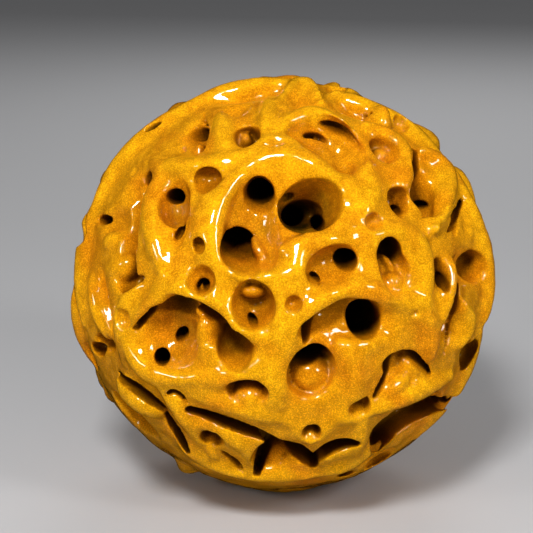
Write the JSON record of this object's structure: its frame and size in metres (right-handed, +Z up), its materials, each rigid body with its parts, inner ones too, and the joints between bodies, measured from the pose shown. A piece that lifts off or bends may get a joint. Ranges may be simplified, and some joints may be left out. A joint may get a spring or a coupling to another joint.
{
  "type": "decorative sphere",
  "caption": "Openwork ornament ball of polished ochre stone, carved all over into bowls, pits, slots and winding tunnels, resting on a small flat spot.",
  "frame": {"origin": "the middle of the flat spot the ball rests on, at the height of the surface under it", "axes": "+Z up; the face seen in the picture looks towards -Y and fifteen degrees up; +X is that face's right side"},
  "size_m": [0.0984, 0.0993, 0.0979],
  "materials": {
    "stone": "polished"
  },
  "bodies": {
    "root": {"carved_ball": "stone"}
  },
  "joints": []
}
